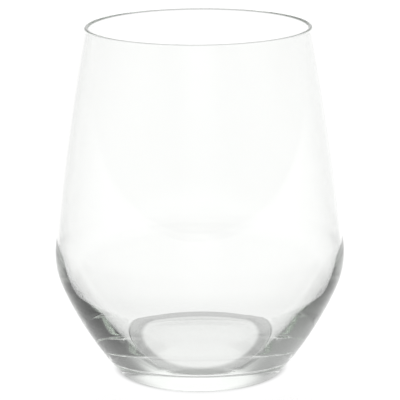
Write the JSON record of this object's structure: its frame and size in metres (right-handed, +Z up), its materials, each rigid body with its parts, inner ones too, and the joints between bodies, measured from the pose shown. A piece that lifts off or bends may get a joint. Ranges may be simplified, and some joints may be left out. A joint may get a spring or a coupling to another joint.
{
  "type": "water glass",
  "caption": "Stemless water glass of clear glass that widens from a fine rounded rim to a low soft shoulder, then tapers to a small thick foot.",
  "frame": {"origin": "centre of the plane that the glass stands on, on the axis of revolution", "axes": "+Z up along the axis of revolution, out of the mouth; X and Y are free, because the glass is round"},
  "size_m": [0.0902, 0.0902, 0.11],
  "materials": {
    "clear_glass": "clear, fire-polished, with a very faint grey-green tint where the glass is thick"
  },
  "bodies": {
    "root": {"tumbler": "clear_glass"}
  },
  "joints": []
}
